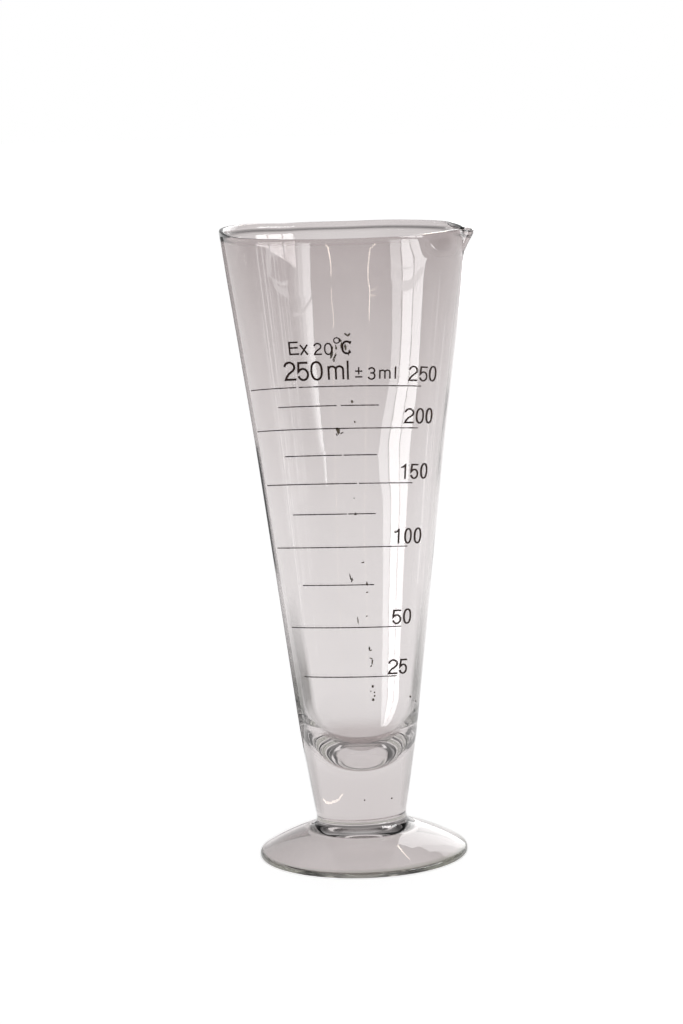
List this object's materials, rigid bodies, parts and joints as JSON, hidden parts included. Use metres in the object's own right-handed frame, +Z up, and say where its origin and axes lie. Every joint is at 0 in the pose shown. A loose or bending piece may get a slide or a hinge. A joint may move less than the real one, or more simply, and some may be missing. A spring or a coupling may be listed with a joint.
{
  "type": "measuring glass",
  "caption": "Conical measuring glass with a pouring lip, a solid stem, a hollow domed foot and a fired enamel scale of millilitre lines.",
  "frame": {"origin": "on the glass's axis, at the level of the table under its foot", "axes": "+Z up along the glass's axis, +X from the axis towards the pouring lip, the scale faces -Y"},
  "size_m": [0.0849, 0.082, 0.21],
  "materials": {
    "glass": "gloss",
    "enamel": "satin"
  },
  "bodies": {
    "root": {"measuring_glass": "glass", "graduation_marks": "enamel"}
  },
  "joints": []
}
